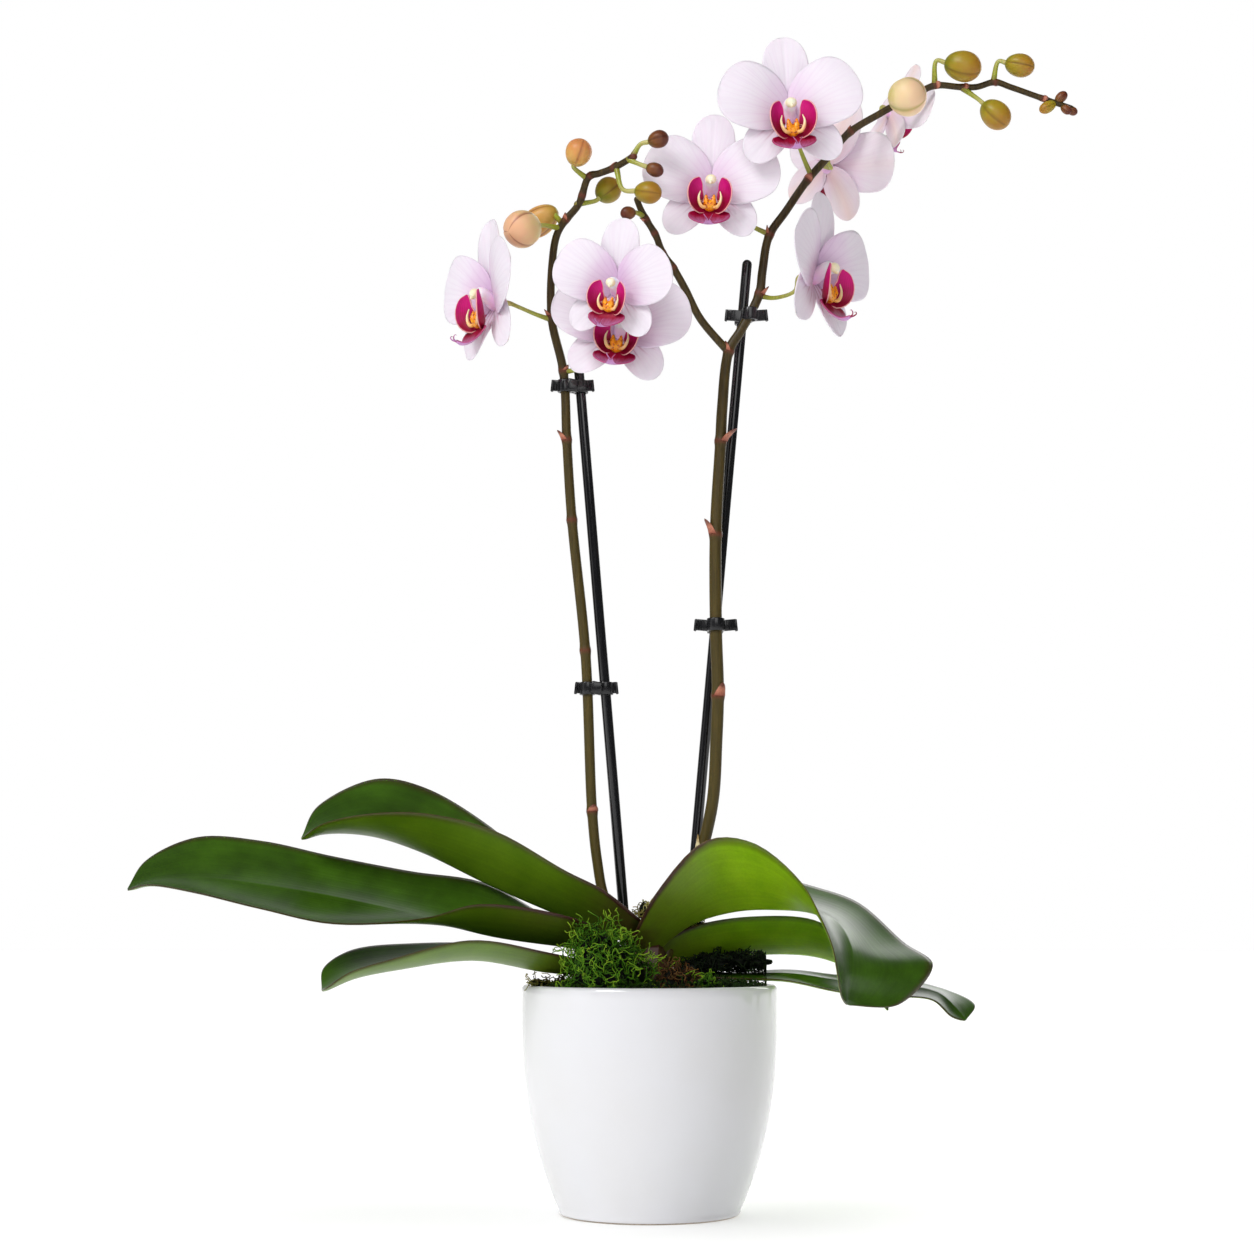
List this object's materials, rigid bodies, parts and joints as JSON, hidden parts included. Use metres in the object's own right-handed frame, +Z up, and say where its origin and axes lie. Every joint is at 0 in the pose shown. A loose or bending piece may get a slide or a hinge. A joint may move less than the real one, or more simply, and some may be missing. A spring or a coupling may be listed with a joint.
{
  "type": "potted orchid",
  "caption": "Potted moth orchid with two arching flower spikes on black stakes, in a round white glazed cover pot.",
  "frame": {"origin": "middle of the cover pot's flat underside", "axes": "+Z up; -Y is the side that the flowers face; +X to the right as seen from there, towards the tall spike's tip"},
  "size_m": [0.5457, 0.147, 0.6798],
  "materials": {
    "pot_glaze": "gloss",
    "clear_plastic": "gloss",
    "bark": "matte",
    "moss": "matte",
    "dry_moss": "matte",
    "crown": "satin",
    "leaf": "satin",
    "spike": "satin",
    "stake_plastic": "gloss",
    "clip_plastic": "satin",
    "tepal": "satin",
    "lip": "satin",
    "bud": "satin"
  },
  "bodies": {
    "root": {"cover_pot": "pot_glaze", "grow_pot": "clear_plastic", "growing_medium": "bark", "crown_and_roots": "crown", "left_stake": "stake_plastic", "right_stake": "stake_plastic", "left_spike": "spike", "right_spike": "spike", "right_spike_branch": "spike", "leaf_upper_left": "leaf", "leaf_long_left": "leaf", "leaf_lower_left": "leaf", "leaf_big_right": "leaf", "leaf_mid_right": "leaf", "leaf_low_right": "leaf", "moss_bed": "moss", "moss_clump_front": "moss", "moss_clump_right": "dry_moss", "moss_clump_back": "moss", "clip_upper_left": "clip_plastic", "clip_lower_left": "clip_plastic", "clip_upper_right": "clip_plastic", "clip_lower_right": "clip_plastic", "flower_1_petals": "tepal", "flower_1_sepals": "tepal", "flower_1_lip": "lip", "flower_2_petals": "tepal", "flower_2_sepals": "tepal", "flower_2_lip": "lip", "flower_3_petals": "tepal", "flower_3_sepals": "tepal", "flower_3_lip": "lip", "flower_4_petals": "tepal", "flower_4_sepals": "tepal", "flower_4_lip": "lip", "flower_5_petals": "tepal", "flower_5_sepals": "tepal", "flower_5_lip": "lip", "flower_6_petals": "tepal", "flower_6_sepals": "tepal", "flower_6_lip": "lip", "flower_7_petals": "tepal", "flower_7_sepals": "tepal", "flower_7_lip": "lip", "flower_8_petals": "tepal", "flower_8_sepals": "tepal", "flower_8_lip": "lip", "bud_left_1": "bud", "bud_left_2": "bud", "bud_left_3": "bud", "bud_left_4": "bud", "bud_left_5": "bud", "bud_left_6": "bud", "bud_left_7": "bud", "bud_right_1": "bud", "bud_right_2": "bud", "bud_right_3": "bud", "bud_right_4": "bud", "bud_branch": "bud"}
  },
  "joints": []
}
